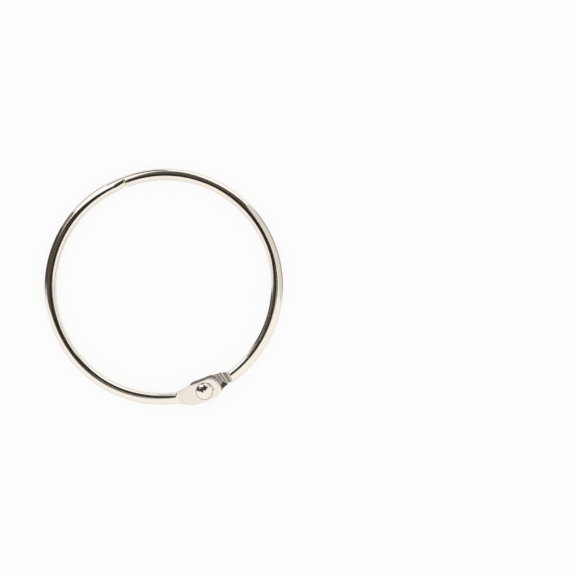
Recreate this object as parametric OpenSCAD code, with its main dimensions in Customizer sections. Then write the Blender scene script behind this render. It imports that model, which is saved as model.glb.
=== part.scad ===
// Hinged binder ring. Two half rings of round wire are pressed flat at one end, lapped and
// riveted together; a pin on the left half's other end drops into a socket in the right half's.
// The closed ring lies flat and is centred on the origin. The hinge is on the -Y side, the seam
// on the +Y side, the left half on the -X side, and +Z is the side of the rivet's high dome.
// Lengths "from the pivot" are measured along the wire's centre line, in millimetres.

/* [Wire] */
// Diameter of the wire
wire_d = 2.8; // [2.4:0.05:3.2]
// Radius to which the centre line of each half ring is bent
bend_r = 26.4; // [20:0.1:40]
// Distance of each half's centre of bend from the line through hinge and seam
half_spread = 0.45; // [0:0.05:1]
// Distance of the rivet's axis outside the wire's centre line
pivot_out = 0.14; // [0:0.02:0.5]

/* [Ears] */
// Width of the front ear, on the left half
front_w = 4.85; // [4.2:0.05:5.6]
// Width of the rear ear, on the right half
rear_w = 5; // [4.2:0.05:5.6]
// Reach of the front ear past the pivot
front_reach = 3.95; // [3.4:0.05:5]
// Reach of the rear ear past the pivot
rear_reach = 3.75; // [3:0.05:4.5]
// Length of the front ear's blunt end, part of its reach
front_blunt = 2.6; // [2:0.05:3.2]
// Length of the rear ear's blunt end, part of its reach
rear_blunt = 2.5; // [2:0.05:2.8]
// Distance from the rivet's axis in to the rear ear's centre line
rear_shift = 0.5; // [0:0.05:0.8]
// Rounding along the front ear's edges
front_edge = 0.12; // [0.1:0.02:0.5]
// Rounding around the front ear's end
front_end_edge = 0.45; // [0.1:0.05:0.55]
// Rounding along the rear ear's edges
rear_edge = 0.5; // [0.1:0.05:0.55]
// Rounding along the edges of the rear ear's lapped side
rear_lap_edge = 0.15; // [0.1:0.05:0.5]
// Distance from the pivot in to the line where the rear ear's inner flank starts to slope
flank_in = 2.24; // [1.8:0.02:2.6]
// Angle between that line and the wire at the pivot
flank_turn = 6; // [0:1:10]
// Slope of the flank, in degrees
flank_slope = 8; // [0:1:20]
// Running gap between the lapped faces
lap_gap = 0.08; // [0.04:0.01:0.2]
// Gap between one ear's end and the step in the other half
end_gap = 0.15; // [0.1:0.05:0.4]

/* [Pressing of the left half] */
// Where the round wire ends, from the pivot
left_press_from = 7.1; // [7.1:0.1:12]
// Where the flat has its full width, from the pivot
left_flat_from = 6.2; // [5:0.1:7]
// Where the wire starts to widen, from the pivot
left_widen_from = 7; // [6:0.1:7]
// Where the ear has its full width, from the pivot
left_widen_to = 2.6; // [1:0.1:4]

/* [Shoulder of the right half] */
// Where the round wire ends, from the pivot
right_press_from = 7.4; // [7.3:0.1:9]
// Where the neck ends at the stepped block, from the pivot
block_from = 5.65; // [5.5:0.05:6.4]
// How far the block stands out past the neck on each side
block_lip = 0.3; // [0:0.05:0.5]
// Foot of the step between the block's two treads, from the pivot
middle_step = 4.85; // [4.7:0.05:5.2]
// Top of the neck's ramp, from the pivot
neck_to = 6.75; // [6.5:0.05:7]
// Height of the block's low tread over the lapped face, at the foot of its facet
low_tread = 0.16; // [0.1:0.01:0.3]
// Height of the block's high tread over the lapped face, at its front
high_tread = 0.6; // [0.4:0.05:0.7]
// Slope of the two treads, in degrees
tread_slope = 4.3; // [0:0.1:6]
// Length of the steeper facet at the back of each tread
facet_len = 0.28; // [0.1:0.02:0.3]
// Slope of those facets, in degrees
facet_slope = 10; // [0:1:20]
// Length in plan of the riser between the two treads
riser_run = 0.05; // [0.05:0.01:0.2]
// Length in plan of the riser from the block up to the neck
neck_riser_run = 0.25; // [0.1:0.05:0.4]
// Height of the neck's foot over the lapped face
neck_foot = 0.85; // [0.75:0.05:1]
// Slope of the neck's ramp, in degrees
ramp_slope = 5; // [0:1:15]
// Width of the dimple in the block's outer corner
dimple_w = 1.3; // [0.8:0.05:1.6]
// Width of the rim left standing outside the dimple
dimple_rim = 0.08; // [0.05:0.01:0.3]
// Draft of the dimple's walls
dimple_draft = 0.1; // [0.05:0.05:0.3]
// Slope of the dimple's floor, which rises to the rim, in degrees
dimple_slope = 12; // [0:1:20]

/* [Rivet] */
// Diameter of the rivet's shank
shank_d = 2; // [1.6:0.05:2.4]
// Clearance round the shank in each ear
shank_clearance = 0.04; // [0.02:0.01:0.1]
// Diameter of the front head
head_d = 3.9; // [3.2:0.05:4.2]
// Height of the front head's dome
head_h = 1; // [0.6:0.05:1.3]
// Diameter of the rear head
tail_d = 3.6; // [3:0.05:4]
// Height of the rear head's dome
tail_h = 0.7; // [0.4:0.05:1]
// Play between the rear head and the rear ear
tail_play = 0.05; // [0.02:0.01:0.1]
// Depth of the mark that the setting tool leaves beside the front head
tool_mark_depth = 0.06; // [0.02:0.01:0.12]
// Distance of that mark outside the front head
tool_mark_gap = 0.25; // [0.15:0.05:0.5]
// Direction of the middle of that mark from the pivot, and the arc that it covers
tool_mark_at = 21; // [-180:1:180]
tool_mark_arc = 70; // [30:5:160]

/* [Seam] */
// Angle of the seam past the point opposite the hinge, towards the right half
seam_lean = 1.2; // [-2:0.1:3]
// Gap between the two ends at the wire's centre line
seam_gap = 0.12; // [0.12:0.01:0.3]
// Length of wire that tapers to the left half's end
taper_len = 2.5; // [1.5:0.1:5]
// Width that the taper takes off the inner side
taper_drop = 0.45; // [0.1:0.05:0.6]
// Rounding of the left half's end
end_round = 0.3; // [0.1:0.05:0.4]
// Diameter of the pin on the left half's end
pin_d = 1.2; // [0.8:0.05:1.3]
// Length of the pin past the seam
pin_len = 1.1; // [0.6:0.1:2]
// Clearance all round the pin in its socket
pin_clearance = 0.12; // [0.08:0.01:0.2]

/* [Hidden] */
$fn = 64;

wire_r = wire_d / 2;
wire_area = PI * wire_r * wire_r;
// Plan position of the pivot, and its angle seen from a half's centre of bend
pivot_r = bend_r + pivot_out;
pivot_y = -sqrt(pivot_r * pivot_r - half_spread * half_spread);
pivot_phi = -asin(half_spread / pivot_r);
// The lapped faces lie this far above and below the wire's mid-plane
lap_z = lap_gap / 2;
// The pressed ends keep the wire's metal, so an ear's thickness follows from its width
corner_loss = 4 - PI;
front_t = pressed_t(front_w / 2, front_edge);
rear_t = pressed_t(rear_w / 2, rear_edge);
front_face_z = lap_z + front_t;
rear_face_z = lap_z + rear_t;
// Straight part of each ear past the pivot, before its blunt end begins
front_straight = front_reach - front_blunt;
rear_straight = rear_reach - rear_blunt;
// Exponent of the blunt ends' outline: 2 is an ellipse, more is squarer
end_power = 2.4;
// Cutters stop this far short of a lapped face, and round wire this far short of a skin's section
trim = 0.01;
// A skin's end lies this far inside the wire, draws in over this length, and runs on by this much
bite = 0.03;
bite_run = 0.8;
bury = 0.5;
// Length of the cone on the pin's end
pin_cone = 0.35;
// Height of the upright rim under each of the rivet's domes
head_rim = 0.15;
// Radius of the setting tool's edge
mark_r = 0.2;
// Length along the wire over which the block's lip runs out
lip_run = 0.3;
// Length of the flat behind the neck's ramp, and half that of the riser from it to the round wire
crown_run = 0.14;
// Where the rear ear has its full width, from the pivot
right_widen_to = 2;
// Where the shoulder starts to rise from the rear ear's lapped face, from the pivot
shoulder_foot = 3.3;
// Where the shoulder's untrimmed top is as high as the wire, from the pivot
shoulder_top = 6.6;
// Points on each rounded corner of a pressed section, and sections round an ear's end
corner_points = 7;
end_sections = 9;
// Sections round the left half's rounded end
round_steps = 4;
// Radii that the two ears' ends sweep about the pivot
front_sweep = max([for (o = end_outline(front_w / 2, front_reach, front_straight, 0)) norm(o)]);
rear_sweep = max([for (o = end_outline(rear_w / 2, rear_reach, rear_straight, rear_shift)) norm(o)]);
// Place of the seam on the wire's centre line
seam_x = bend_r * sin(seam_lean);
seam_y = sqrt(bend_r * bend_r - pow(seam_x - half_spread, 2));
seam_gap_deg = deg(seam_gap / 2 / bend_r);
left_seam_phi = 180 + asin((seam_x + half_spread) / bend_r) - seam_gap_deg;
left_seam_s = (left_seam_phi - pivot_phi) * PI / 180 * bend_r;
right_seam_phi = 180 - asin((seam_x - half_spread) / bend_r) - seam_gap_deg;

function deg(radians) = radians * 180 / PI;
// Rises smoothly from 0 at a to 1 at b
function ease(a, b, x) = let (t = min(1, max(0, (x - a) / (b - a)))) t * t * (3 - 2 * t);
// n values spread evenly from a up to but not including b
function spread(a, b, n) = [for (i = [0:n - 1]) a + (b - a) * i / n];
function turned(v) = [-v.y, v.x];
// Angle round a half's centre of bend of the point at length s from the pivot
function phi(s) = pivot_phi + deg(s / bend_r);
// Plan point at length s from the pivot, n outside the wire's centre line
function plan(s, n) = (bend_r + n) * [sin(phi(s)), -cos(phi(s))];
// Distance outside the wire's centre line of the block's outer edge, at length s from the pivot
function block_edge(s) = right_centre(s) + right_half_width(s);
// Distance of the right half's own centre line outside the wire's
function right_centre(s) = pivot_out * ease(block_from, right_widen_to, s)
    - rear_shift * ease(right_press_from, block_from, s);
function right_half_width(s) = wire_r
    + block_lip * ease(block_from + lip_run / 2, block_from - lip_run / 2, s)
    + (rear_w / 2 - wire_r - block_lip) * ease(block_from - lip_run / 2, right_widen_to, s);
// Thickness of the wire's metal pressed to half-width w with corner radius e
function pressed_t(w, e) = (wire_area + corner_loss * e * e) / (2 * w);
// Plan outline of an ear's blunt end about the pivot, on the side to which it is shifted
function end_outline(w, reach, straight, shift) =
    [for (i = [0:end_sections]) let (t = 90 * i / end_sections)
        [straight + (reach - straight) * pow(sin(t), 2 / end_power),
         shift + w * pow(cos(t), 2 / end_power)]];

// A section is [s, centre, half-width, top, bottom, upper edge radius, lower edge radius, turn].
// Its outline points go up the outer side and down the inner side of the skin. Turn is the angle by
// which the plan outline there has turned from the wire's direction towards straight across the
// ear's end.
function section_points(sec) =
    let (along = [cos(phi(sec[0])), sin(phi(sec[0]))], out = -turned(along),
         side = [for (k = [0:2 * corner_points - 1]) -90 + (k + 0.5) * 90 / corner_points])
    concat([for (a = side) edge_point(plan(sec[0], sec[1] + sec[2]),
                                      out * cos(sec[7]) - along * sin(sec[7]), sec, a)],
           [for (a = side) edge_point(plan(sec[0], sec[1] - sec[2]),
                                      -out * cos(sec[7]) - along * sin(sec[7]), sec, -a)]);
// Point at angle a round the rounded edge that stands on plan point p with outward normal n
function edge_point(p, n, sec, a) =
    let (e = a < 0 ? sec[6] : sec[5], q = p - n * e * (1 - cos(a)))
    [q.x, q.y, a < 0 ? sec[4] + e * (1 + sin(a)) : sec[3] - e * (1 - sin(a))];

// Closed skin through the sections, each end closed across from side to side
module skin(secs) {
    count = 4 * corner_points;
    last = len(secs) - 1;
    points = [for (sec = secs) each section_points(sec)];
    walls = [for (i = [0:last - 1], k = [0:count - 1]) let (
        a = i * count + k, b = i * count + (k + 1) % count, c = b + count, d = a + count)
        each [[a, d, b], [b, d, c]]];
    start_cap = [for (k = [0:count / 2 - 2]) let (
        a = k, b = k + 1, c = count - 2 - k, d = count - 1 - k) each [[a, b, c], [a, c, d]]];
    end_cap = [for (f = start_cap) [for (j = [2:-1:0]) f[j] + last * count]];
    polyhedron(points, concat(walls, start_cap, end_cap), convexity = 6);
}

// Round wire of a half ring between two angles from the -Y side
module wire_arc(from_phi, to_phi) {
    rotate([0, 0, from_phi - 90])
        rotate_extrude(angle = to_phi - from_phi)
            translate([bend_r, 0]) circle(d = wire_d);
}

// Blunt end of an ear: a squarish half oval
function end_stations(w, reach, straight, shift, face_z, t, edge, end_edge, lower_edge) =
    [for (i = [0:end_sections]) let (a = 85 * i / end_sections,
        more = (end_edge - edge) * sin(a),
        turn = atan2(w * pow(sin(a), 2 - 2 / end_power),
                     (reach - straight) * pow(cos(a), 2 - 2 / end_power)))
        [-straight - (reach - straight) * pow(sin(a), 2 / end_power), pivot_out - shift,
         w * pow(cos(a), 2 / end_power), face_z, face_z - t, edge + more, lower_edge + more, turn]];

// How far inside the pressed form a skin lies where it joins the wire
function bitten(s, from) = bite * ease(from - bite_run, from, s);

// Left half's pressed end. Its front face stays near the wire's top while the back rises.
function left_stations() =
    concat([for (s = concat([left_press_from + bury], spread(left_press_from, left_flat_from, 6),
                            spread(left_flat_from, left_widen_to, 11),
                            spread(left_widen_to, -front_straight, 4)))
        let (inset = bitten(s, left_press_from),
             pressed = ease(left_press_from, left_flat_from, s),
             w = wire_r + (front_w / 2 - wire_r) * ease(left_widen_from, left_widen_to, s),
             e = wire_r + (front_edge - wire_r) * pressed,
             top = wire_r + (front_face_z - wire_r) * pressed)
        [s, pivot_out * ease(left_widen_from, left_widen_to, s), w - inset, top - inset,
         top - pressed_t(w, e) + inset, e - inset, e - inset, 0]],
        end_stations(front_w / 2, front_reach, front_straight, 0, front_face_z, front_t,
                     front_edge, front_end_edge, front_edge));

// Right half's pressed end, seen from its own flat face. Its lapped side is stepped afterwards.
function right_stations() =
    let (lip_from = block_from + lip_run / 2, lip_to = block_from - lip_run / 2)
    concat([for (s = concat([right_press_from + bury], spread(right_press_from, lip_from, 7),
                            spread(lip_from, lip_to, 3), spread(lip_to, -rear_straight, 13)))
        let (inset = bitten(s, right_press_from),
             pressed = ease(right_press_from, block_from, s),
             w = right_half_width(s),
             e = wire_r + (rear_edge - wire_r) * pressed,
             lower = wire_r + (rear_lap_edge - wire_r) * pressed,
             face = wire_r + (rear_face_z - wire_r) * pressed,
             lapped = lap_z - (wire_r + lap_z) * ease(shoulder_foot, shoulder_top, s))
        [s, right_centre(s), w - inset, face - inset, lapped + inset, e - inset,
         lower - inset, 0]],
        end_stations(rear_w / 2, rear_reach, rear_straight, rear_shift, rear_face_z, rear_t,
                     rear_edge, rear_edge, rear_lap_edge));

// Prism across the wire whose profile lies along it: x from the block's end, z from the lapped face
module across_block(profile) {
    rotate([0, 0, phi(block_from)]) translate([0, -bend_r, -lap_z]) rotate([90, 0, 0])
        linear_extrude(height = 4 * wire_d, center = true) polygon(profile);
}

// Space over the shoulder's steps: low tread, high tread and neck, right across the wire
module steps() {
    foot = front_sweep + end_gap - block_from;
    mid = middle_step - block_from;
    neck = neck_to - block_from;
    low_foot = low_tread - (mid - facet_len - foot) * tan(tread_slope);
    rise = facet_len * tan(facet_slope);
    high_end = high_tread - (facet_len + riser_run + mid) * tan(tread_slope);
    neck_top = neck_foot + neck * tan(ramp_slope);
    crown_x = neck + 3 * crown_run;
    across_block([[-rear_w, low_foot], [foot, low_foot], [mid - facet_len, low_tread],
                  [mid, low_tread + rise], [mid + riser_run, high_tread], [-facet_len, high_end],
                  [0, high_end + rise], [neck_riser_run, neck_foot], [neck, neck_top],
                  [neck + crown_run, neck_top], [crown_x, wire_r + lap_z + trim],
                  [crown_x, 2 * wire_d], [-rear_w, 2 * wire_d]]);
}

// Space beside the rear ear's inner flank, which slopes away from the lapped face
module flank() {
    intersection() {
        cylinder(r = front_sweep + end_gap, h = wire_d, center = true);
        translate([0, 0, -lap_z]) rotate([0, 0, -flank_turn]) translate([-rear_w, flank_in, 0])
            rotate([-flank_slope, 0, 0]) cube([2 * rear_w, rear_w, wire_d]);
    }
}

// Sunk corner of the block: drafted walls, and a floor that rises outward from the lapped face
module dimple() {
    to_s = block_from - riser_run;
    inner = dimple_outline(to_s, 0)[2];
    run = inner - dimple_outline(to_s, 0)[3];
    intersection() {
        hull() {
            dimple_slab(to_s, dimple_draft, -lap_z - trim);
            dimple_slab(to_s, 0, high_tread);
        }
        translate([inner.x, inner.y, -lap_z]) rotate([0, 0, atan2(run.y, run.x)])
            rotate([-dimple_slope, 0, 0]) translate([-rear_w, -rear_w, 0])
                cube([2 * rear_w, 2 * rear_w, wire_d]);
    }
}
// Thin slab in the dimple's outline, drawn in by inset, with its underside at z
module dimple_slab(to_s, inset, z) {
    translate([0, 0, z]) linear_extrude(height = trim) polygon(dimple_outline(to_s, inset));
}
function dimple_outline(to_s, inset) =
    let (from_s = middle_step - dimple_w)
    [plan(from_s, block_edge(from_s) - dimple_rim - inset),
     plan(to_s - inset, block_edge(to_s) - dimple_rim - inset),
     plan(to_s - inset - dimple_w / 2, block_edge(to_s) - dimple_w + inset),
     plan(from_s, block_edge(from_s) - dimple_w + inset)];

// Left half's end, from its rounded face back to the wire: round sections whose inner side
// draws in while the outer side runs on
function tip_stations() =
    concat([for (i = [0:round_steps - 1]) let (t = 90 * i / round_steps)
               tip_station(end_round * (1 - cos(t)), end_round * (1 - sin(t)))],
           [for (u = spread(end_round, taper_len, 6)) tip_station(u, 0)],
           [tip_station(taper_len, 0), tip_station(taper_len + bury, 0)]);
function tip_station(u, cut) =
    let (drawn = taper_drop / 2 * pow(max(0, 1 - u / taper_len), 1.3),
         r = wire_r - drawn - cut - bite * ease(taper_len - bite_run, taper_len, u))
    [left_seam_s - u, drawn, r, r, -r, r, r, 0];

// Pin or socket on the line through the seam: round, with a cone at its far end
module seam_peg(r, back, length, cone) {
    translate([seam_x, seam_y, 0]) rotate([0, 90, 0]) {
        translate([0, 0, -back]) cylinder(r = r, h = back + length - cone);
        translate([0, 0, length - cone]) cylinder(r1 = r, r2 = r - cone, h = cone);
    }
}

module rivet_hole() {
    cylinder(d = shank_d + 2 * shank_clearance, h = 4 * wire_d, center = true);
}

// Arc that the setting tool leaves beside the rivet's head
module tool_mark() {
    rotate([0, 0, tool_mark_at - tool_mark_arc / 2]) rotate_extrude(angle = tool_mark_arc)
        translate([head_d / 2 + tool_mark_gap, front_face_z + mark_r - tool_mark_depth])
            circle(r = mark_r);
}

// Domed head: part of a ball over a thin upright rim
module head(d, h) {
    cap_h = h - head_rim;
    ball_r = (d * d / 4 + cap_h * cap_h) / (2 * cap_h);
    intersection() {
        translate([0, 0, h - ball_r]) sphere(r = ball_r);
        cylinder(d = d, h = 2 * h);
    }
}

// Left half: wire, front ear, and tapered end with its pin
module left_half() color("silver") {
    difference() {
        translate([-half_spread, 0, 0]) mirror([1, 0, 0]) {
            wire_arc(phi(left_press_from + trim), left_seam_phi - deg(taper_len / bend_r));
            skin(left_stations());
            skin(tip_stations());
        }
        translate([0, pivot_y, 0]) {
            translate([0, 0, lap_z - trim - wire_d]) cylinder(r = rear_sweep + end_gap, h = wire_d);
            rivet_hole();
            tool_mark();
        }
    }
    seam_peg(pin_d / 2, end_round + bury, pin_len, pin_cone);
}

// Right half: wire with the socket in its end, stepped shoulder and rear ear
module right_half() color("silver") difference() {
    translate([half_spread, 0, 0]) mirror([0, 0, 1]) {
        wire_arc(phi(right_press_from + trim), right_seam_phi);
        skin(right_stations());
    }
    translate([half_spread, 0, 0]) {
        steps();
        dimple();
    }
    translate([0, pivot_y, 0]) {
        translate([0, 0, trim - lap_z]) cylinder(r = front_sweep + end_gap, h = wire_d);
        flank();
        rivet_hole();
    }
    seam_peg(pin_d / 2 + pin_clearance, wire_d, pin_len + pin_clearance + pin_d / 2, pin_d / 2);
}

// Rivet: shank through both ears, high dome in front, low dome behind
module rivet() color("gainsboro") translate([0, pivot_y, 0]) {
    tail_z = rear_face_z + tail_play;
    translate([0, 0, -tail_z - tail_h / 2])
        cylinder(d = shank_d, h = tail_z + front_face_z + (tail_h + head_h) / 2);
    translate([0, 0, front_face_z]) head(head_d, head_h);
    mirror([0, 0, 1]) translate([0, 0, tail_z]) head(tail_d, tail_h);
}

left_half();
right_half();
rivet();
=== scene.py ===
"""A closed binder ring of nickel-plated wire: two half rings, pressed flat, lapped and riveted at
the hinge, with a pin on one end that seats in a socket in the other."""

import bmesh
import bpy
import numpy as np
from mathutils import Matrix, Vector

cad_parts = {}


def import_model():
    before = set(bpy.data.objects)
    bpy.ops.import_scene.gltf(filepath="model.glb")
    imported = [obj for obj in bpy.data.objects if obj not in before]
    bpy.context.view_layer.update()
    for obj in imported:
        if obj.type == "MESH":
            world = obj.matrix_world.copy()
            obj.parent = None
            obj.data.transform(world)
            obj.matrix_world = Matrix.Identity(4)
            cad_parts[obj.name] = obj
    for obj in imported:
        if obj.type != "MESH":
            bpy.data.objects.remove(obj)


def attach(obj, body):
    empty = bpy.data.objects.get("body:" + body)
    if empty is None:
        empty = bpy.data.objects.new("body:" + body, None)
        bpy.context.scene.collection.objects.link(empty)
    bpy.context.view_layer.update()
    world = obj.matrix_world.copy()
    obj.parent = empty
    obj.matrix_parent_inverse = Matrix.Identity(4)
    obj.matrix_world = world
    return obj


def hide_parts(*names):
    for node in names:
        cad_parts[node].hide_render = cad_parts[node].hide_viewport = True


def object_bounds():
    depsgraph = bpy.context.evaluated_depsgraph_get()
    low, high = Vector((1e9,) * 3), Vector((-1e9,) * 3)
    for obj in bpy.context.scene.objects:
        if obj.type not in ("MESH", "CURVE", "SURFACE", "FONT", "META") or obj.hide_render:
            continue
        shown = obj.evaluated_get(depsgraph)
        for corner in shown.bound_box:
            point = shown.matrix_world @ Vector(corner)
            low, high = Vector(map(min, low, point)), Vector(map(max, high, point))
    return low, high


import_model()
cad_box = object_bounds()

# Sizes of the ring in millimetres. Lengths "from the pivot" run along the wire's centre line. The
# wire and the front ear are a hair slimmer than the solids, whose faces are flat facets.
MM = 0.001
WIRE_R = 1.394
BEND_R = 26.4
HALF_SPREAD = 0.45
PIVOT_OUT = 0.14

# The ears: widths, reaches past the pivot, blunt ends, the rear ear's shift towards the ring's
# centre, radii of the edges, and the lapped faces' distance from the middle plane
FRONT_W, REAR_W = 4.846, 5.0
FRONT_REACH, REAR_REACH = 3.95, 3.75
FRONT_BLUNT, REAR_BLUNT = 2.6, 2.5
REAR_SHIFT = 0.5
FRONT_EDGE, FRONT_END_EDGE, REAR_EDGE, REAR_LAP_EDGE = 0.12, 0.45, 0.5, 0.15
LAP_Z = 0.04
END_GAP = 0.15
END_POWER = 2.4

# Where each half is pressed flat and widened, from the pivot
LEFT_PRESS_FROM, LEFT_FLAT_FROM = 7.1, 6.2
LEFT_WIDEN_FROM, LEFT_WIDEN_TO = 7.0, 2.6
RIGHT_PRESS_FROM, RIGHT_WIDEN_TO = 7.4, 2.0

# The right half's shoulder: block and lip, steps, neck, flank, treads with facets, and dimple
BLOCK_FROM, BLOCK_LIP, LIP_RUN = 5.65, 0.3, 0.3
SHOULDER_FOOT, SHOULDER_TOP = 3.3, 6.6
MIDDLE_STEP, NECK_TO = 4.85, 6.75
LOW_TREAD, HIGH_TREAD, NECK_FOOT = 0.16, 0.6, 0.85
RAMP_SLOPE = np.radians(5)
FLANK_IN, FLANK_TURN, FLANK_SLOPE = 2.24, np.radians(6), np.radians(8)
RISER_RUN, NECK_RISER_RUN, CROWN_RUN, CROWN_OVER = 0.05, 0.25, 0.14, 0.01
TREAD_SLOPE, LIP_W, LIP_SLOPE = np.radians(4.3), 0.28, np.radians(10)
DIMPLE_W, DIMPLE_RIM, DIMPLE_DRAFT, DIMPLE_SLOPE = 1.3, 0.08, 0.1, np.radians(12)

# The rivet, its holes, and the riveting tool's mark beside the front dome
SHANK_R, HOLE_R = 1.0, 1.04
HEAD_R, HEAD_H, TAIL_R, TAIL_H = 1.95, 1.0, 1.8, 0.7
HEAD_RIM, RIM_BREAK, TAIL_PLAY = 0.15, 0.03, 0.05
TOOL_MARK_R, TOOL_MARK_DEPTH, TOOL_MARK_EDGE = 2.2, 0.06, 0.2
TOOL_MARK_HALF_ARC, TOOL_MARK_FADE, TOOL_MARK_TURN = np.radians([35, 12, 21])

# The seam, the left half's tapered end with its pin, and the socket
SEAM_LEAN = np.radians(1.2)
SEAM_GAP = 0.12
TAPER_LEN, TAPER_DROP, TAPER_POWER, END_ROUND = 2.5, 0.45, 1.3, 0.3
PIN_R, PIN_LEN, PIN_CONE, PIN_CLEARANCE = 0.6, 1.1, 0.35, 0.12
END_BREAK, PIN_BREAK = 0.06, 0.05

# Sizes in the metal's finish. The lines of a drawing die, the press's grain and the turning tool's
# rings are 0.02 to 0.05 mm apart, too fine to show, so they are drawn several times coarser.
DIE_LINE, DIE_LINE_LEN, DIE_LINE_DEPTH = 0.2, 12, 0.0012
PRESS_GRAIN, PRESS_GRAIN_DEPTH = 0.45, 0.0015
TOOL_RING, TOOL_RING_DEPTH = 0.12, 0.0006
PATCH, SCRATCH_LEN, SCRATCH_W, SCRATCH_TURNS = 3, 3, 0.1, (0.4, 1.7, 2.6)
# CREVICE is the width of the painted shade in the crevice round the rivet's head.
CREVICE = 0.2

# Where the finish and the painted shade change, in millimetres: from the first number to the
# second of each pair, as a distance from the rivet's axis, a height, or a distance to the right of
# the ring's centre.
ROUND_WIRE_AWAY = (6.2, 7.5)
LAPPED_AWAY, LAPPED_HEIGHT = (4.3, 4.2), (0.7, 0.5)
SHOULDER_AWAY, SHOULDER_HEIGHT, SHOULDER_SIDE = (7.1, 6.9), (1.1, 0.8), (0, 1)

# The metal's colours, how rough each surface is, and how far painted shade takes it to grey.
# Roughness of 0.1 is a bright plating whose reflections are sharp but not a mirror's.
NICKEL, WARM_NICKEL, PAINTED_SHADE_NICKEL = "#F7F0E6", "#F1E9DD", "#8A8278"
WIRE_ROUGH, PRESSED_ROUGH, RIVET_ROUGH = 0.1, 0.15, (0.07, 0.13)
LAPPED_ROUGHER, SCRATCH_ROUGHER = 0.2, 0.05
SCRATCH_CORE, SCRATCHED_CELLS = (0.15, 0.4), (0.25, 0.2)
LOW_PAINTED_SHADE, CREVICE_PAINTED_SHADE = 0.4, 0.7

# How finely the surfaces are drawn, in millimetres where they are lengths. Columns are those of the
# top and of the underside. A side turns through a whole quarter where the face beside it is flat
# for more than FULL_QUARTER. ABOVE and BELOW are heights that are clear of the ring.
FRONT_SECTIONS, REAR_SECTIONS = 72, 46
LEFT_COLUMNS, RIGHT_COLUMNS, SIDE_COLUMNS = (70, 30), (24, 74), 28
DRILL_SIDES, RIVET_SIDES, DOME_RINGS = 96, 160, 40
WALL_STEP, SHOULDER_STEP, EAR_STEP, TAPER_STEP, WIRE_STEP = 0.02, 0.025, 0.08, 0.1, 0.36
CORNER_CUT, CORNER_SHARE, CORNER_POINTS = 0.03, 0.2, (0.2, 0.5, 0.8)
FULL_QUARTER, LEAST_EDGE, SOFTENING, WALL_RUN = 0.35, 1e-4, 0.03, 0.05
ABOVE, BELOW = 3 * WIRE_R, -1.1 * WIRE_R
WELD = 1e-7
SHARP = np.radians(35)

PIVOT_Y = -np.sqrt((BEND_R + PIVOT_OUT) ** 2 - HALF_SPREAD**2)
PIVOT_PHI = -np.arcsin(HALF_SPREAD / (BEND_R + PIVOT_OUT))
SEAM_X = BEND_R * np.sin(SEAM_LEAN)
SEAM_Y = np.sqrt(BEND_R**2 - (SEAM_X - HALF_SPREAD) ** 2)
SEAM_TRIM = SEAM_GAP / 2 / BEND_R
LEFT_SEAM_S = (np.pi + np.arcsin((SEAM_X + HALF_SPREAD) / BEND_R) - SEAM_TRIM - PIVOT_PHI) * BEND_R
RIGHT_SEAM_S = (np.pi - np.arcsin((SEAM_X - HALF_SPREAD) / BEND_R) - SEAM_TRIM - PIVOT_PHI) * BEND_R
WIRE_AREA = np.pi * WIRE_R**2


def pressed_t(w, edge):
    """Thickness of the wire's metal pressed to half-width w with corner radius edge."""
    return (WIRE_AREA + (4 - np.pi) * edge**2) / (2 * w)


FRONT_T = pressed_t(FRONT_W / 2, FRONT_EDGE)
REAR_T = pressed_t(REAR_W / 2, REAR_EDGE)
FRONT_FACE_Z = LAP_Z + FRONT_T
REAR_FACE_Z = LAP_Z + REAR_T


# ---------------------------------------------------------------- curves
def ease(a, b, x):
    """Rises smoothly from 0 at a to 1 at b: 3 t^2 - 2 t^3."""
    t = np.clip((np.asarray(x, float) - a) / (b - a), 0, 1)
    return t * t * (3 - 2 * t)


def heading(s):
    """Unit vectors along the wire and away from the ring's centre, at length s from the pivot."""
    phi = PIVOT_PHI + np.asarray(s, float) / BEND_R
    return np.stack([np.cos(phi), np.sin(phi)], -1), np.stack([np.sin(phi), -np.cos(phi)], -1)


def plan(s, n):
    """Plan point at length s from the pivot, n outside the wire's centre line: a polar arc."""
    return (BEND_R + np.asarray(n, float))[..., None] * heading(s)[1]


PIVOT = plan(0, PIVOT_OUT)


def from_pivot(xy):
    """Distance of plan points from the rivet's axis."""
    return np.linalg.norm(xy - PIVOT, axis=-1)


def places(*stretches):
    """Places along the wire: each stretch is (from, to, spacing), and the next goes on from it."""
    return np.concatenate([np.arange(a, b - step / 2, step) for a, b, step in stretches])


def blunt_end(w, reach, blunt, edge, end_edge, shift, face_z, t, count, lap_edge=None):
    """Sections round an ear's end, from its tip: half an oval, (x/run)^p + (y/w)^p = 1."""
    a = np.linspace(np.pi / 2, 0, count)
    sine, cosine = np.sin(a), np.cos(a).clip(0)
    cosine[0] = 0
    s = blunt - reach - blunt * sine ** (2 / END_POWER)
    turn = np.arctan2(w * sine ** (2 - 2 / END_POWER), blunt * cosine ** (2 - 2 / END_POWER))
    edge = edge + (end_edge - edge) * sine
    columns = [s, PIVOT_OUT - shift, w * cosine ** (2 / END_POWER), face_z, face_z - t, edge,
               edge if lap_edge is None else lap_edge, turn]
    return np.stack(np.broadcast_arrays(*columns), -1)


def sweep_of(w, reach, blunt, shift):
    """Furthest distance from the pivot that an ear's blunt end reaches."""
    end = blunt_end(w, reach, blunt, 0, 0, -shift, 0, 0, 200)
    return np.hypot(end[:, 0], end[:, 1] - PIVOT_OUT + end[:, 2]).max()


FRONT_SWEEP = sweep_of(FRONT_W / 2, FRONT_REACH, FRONT_BLUNT, 0)
REAR_SWEEP = sweep_of(REAR_W / 2, REAR_REACH, REAR_BLUNT, REAR_SHIFT)


# ---------------------------------------------------------------- surfaces
def cut_along_side(height, mid, straight, edge, lower):
    """Arc length at which a height cuts a side made of a straight between two quarter rounds."""
    off = np.abs(height - mid) - straight / 2
    radius = np.where(height > mid, edge, lower)
    bend = radius * np.arcsin(np.clip(off / radius, 0, 1))
    return np.sign(height - mid) * (straight / 2 + np.where(off <= 0, off, bend))


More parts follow.
